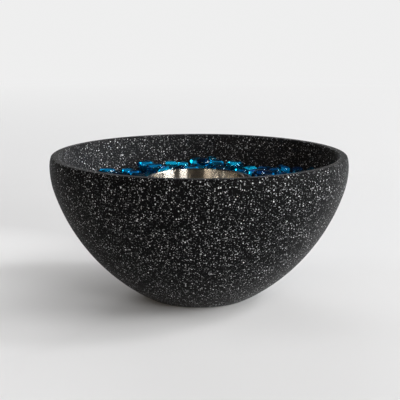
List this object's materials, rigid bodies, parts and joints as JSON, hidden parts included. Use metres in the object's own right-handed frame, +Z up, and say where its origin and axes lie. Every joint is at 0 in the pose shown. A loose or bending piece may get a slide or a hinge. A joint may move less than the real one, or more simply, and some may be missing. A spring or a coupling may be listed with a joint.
{
  "type": "tabletop ethanol fire pit",
  "caption": "Speckled stone bowl with a collared tray, a lift-out steel burner cup over a wool wick, and a bed of blue fire glass.",
  "frame": {"origin": "centre of the surface that the foot pads stand on", "axes": "+Z up along the bowl's axis, -Y towards the picture's camera, +X to its right"},
  "size_m": [0.305, 0.305, 0.15],
  "materials": {
    "cast_stone": "matte, speckled",
    "adhesive": "matte",
    "steel": "spun, satin",
    "ceramic_wool": "fibrous",
    "steel_mesh": "woven wire",
    "foot_rubber": "matte",
    "fire_glass": "tumbled, clear"
  },
  "bodies": {
    "bowl_body": {"bowl": "cast_stone", "burner_tray": "cast_stone", "tray_bedding": "adhesive", "foot_pad_1": "foot_rubber", "foot_pad_2": "foot_rubber", "foot_pad_3": "foot_rubber", "foot_pad_4": "foot_rubber", "fire_glass_01": "fire_glass", "fire_glass_02": "fire_glass", "fire_glass_03": "fire_glass", "fire_glass_04": "fire_glass", "fire_glass_05": "fire_glass", "fire_glass_06": "fire_glass", "fire_glass_07": "fire_glass", "fire_glass_08": "fire_glass", "fire_glass_09": "fire_glass", "fire_glass_10": "fire_glass", "fire_glass_11": "fire_glass", "fire_glass_12": "fire_glass", "fire_glass_13": "fire_glass", "fire_glass_14": "fire_glass", "fire_glass_15": "fire_glass", "fire_glass_16": "fire_glass"},
    "cup_body": {"burner_cup": "steel", "wick_pad": "ceramic_wool"},
    "screen_body": {"screen_ring": "steel", "mesh_screen": "steel_mesh"}
  },
  "joints": [
    {"name": "cup_lift", "type": "slide", "parent": "bowl_body", "child": "cup_body", "axis": [0, 0, 1], "range_m": [0, 0.1]},
    {"name": "screen_lift", "type": "slide", "parent": "cup_body", "child": "screen_body", "axis": [0, 0, 1], "range_m": [0, 0.045]}
  ]
}
